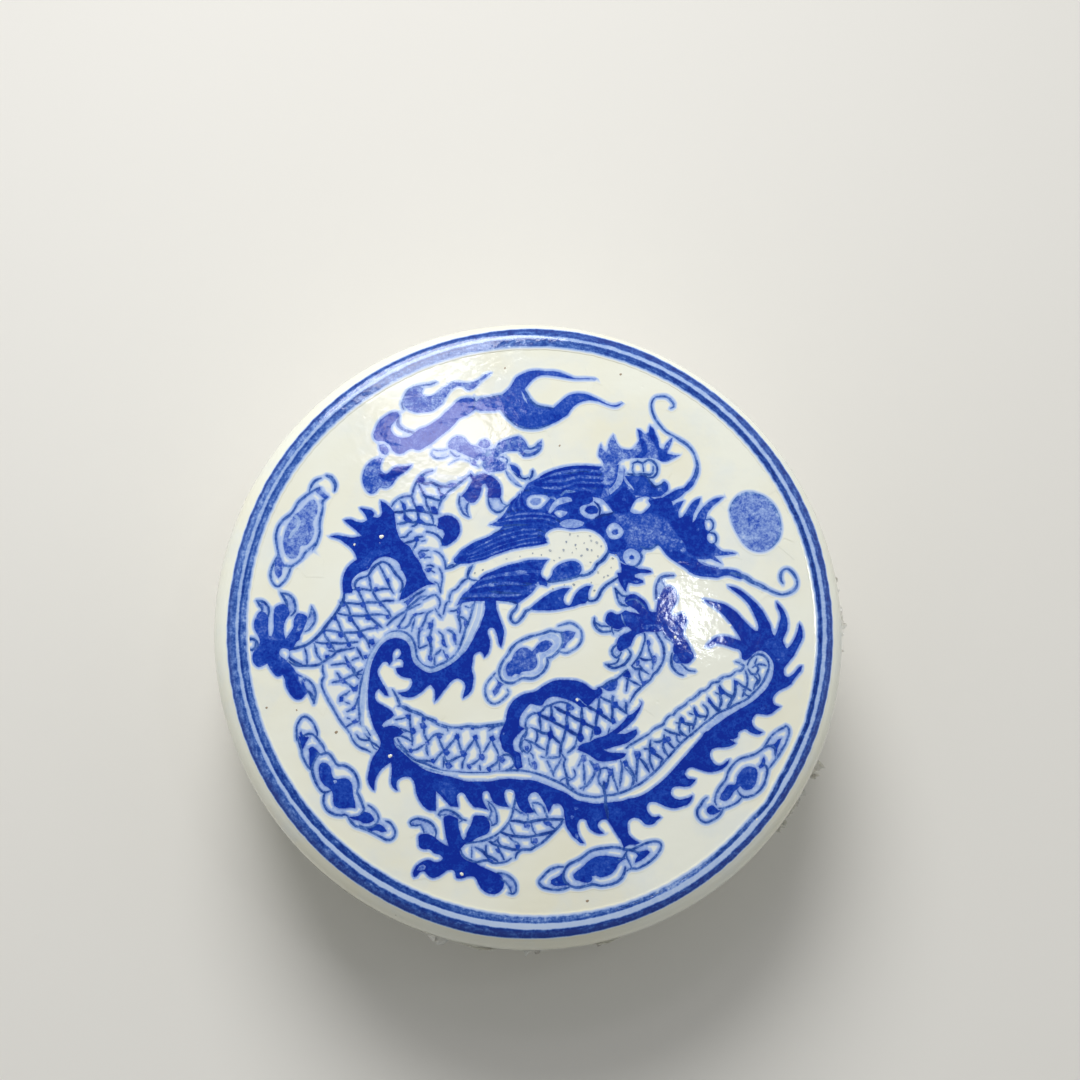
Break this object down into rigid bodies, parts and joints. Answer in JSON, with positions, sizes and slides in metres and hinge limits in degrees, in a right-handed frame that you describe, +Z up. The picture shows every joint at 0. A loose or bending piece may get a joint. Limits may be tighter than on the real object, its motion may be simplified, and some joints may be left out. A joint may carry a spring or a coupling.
{
  "type": "seal paste box",
  "caption": "Round shallow porcelain box with a domed lift-off lid painted in underglaze blue, filled with red seal paste.",
  "frame": {"origin": "middle of the foot ring, on the ground", "axes": "+Z up along the box's axis of revolution; +Y to the top of the lid's picture, +X to its right"},
  "size_m": [0.0803, 0.0802, 0.031],
  "materials": {
    "porcelain": "gloss",
    "vermilion_paste": "satin",
    "clear_sheet": "gloss",
    "clear_film": "gloss"
  },
  "bodies": {
    "base": {"base_dish": "porcelain", "seal_paste": "vermilion_paste", "base_seal_film": "clear_film"},
    "lid": {"lid": "porcelain", "lid_seal_film": "clear_film"},
    "paste_cover": {"paste_cover_sheet": "clear_sheet"}
  },
  "joints": [
    {"name": "lid_lift", "type": "slide", "parent": "base", "child": "lid", "axis": [0, 0, 1], "range_m": [0, 0.045]},
    {"name": "cover_lift", "type": "slide", "parent": "base", "child": "paste_cover", "axis": [0, 0, 1], "range_m": [0, 0.008]}
  ]
}
